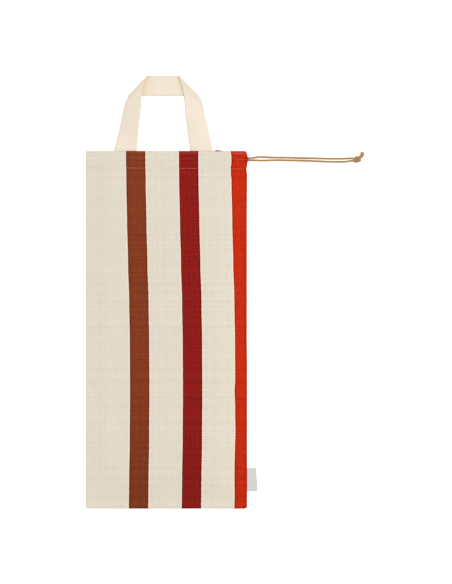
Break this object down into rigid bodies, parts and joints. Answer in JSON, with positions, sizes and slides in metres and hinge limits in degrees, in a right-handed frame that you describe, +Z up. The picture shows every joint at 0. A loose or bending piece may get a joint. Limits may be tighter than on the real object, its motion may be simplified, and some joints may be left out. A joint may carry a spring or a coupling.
{
  "type": "drawstring bread bag with webbing handle",
  "caption": "Flat striped linen bread bag lying on its back, with a stitched drawcord casing at the mouth, a folded webbing handle and a knotted cord at one side.",
  "frame": {"origin": "middle of the bag, handle and label together (the free cord left out), on the surface the bag lies on", "axes": "+Y along the bag towards its mouth and handle, +X towards the side with the cord and label, +Z up from the surface, out of the front"},
  "size_m": [0.4844, 0.754, 0.0197],
  "materials": {
    "linen_cloth": "matt plain-weave linen, ecru with brown, dark red and orange-red stripes",
    "cotton_webbing": "matt cream cotton webbing",
    "twisted_cord": "tan twisted cord",
    "label_tape": "plain off-white woven tape, bare"
  },
  "bodies": {
    "root": {"bag_cloth": "linen_cloth", "handle_webbing": "cotton_webbing", "cord_strand_upper": "twisted_cord", "cord_strand_lower": "twisted_cord", "cord_knot": "twisted_cord", "cord_tail_near": "twisted_cord", "cord_tail_far": "twisted_cord", "side_label": "label_tape"}
  },
  "joints": []
}
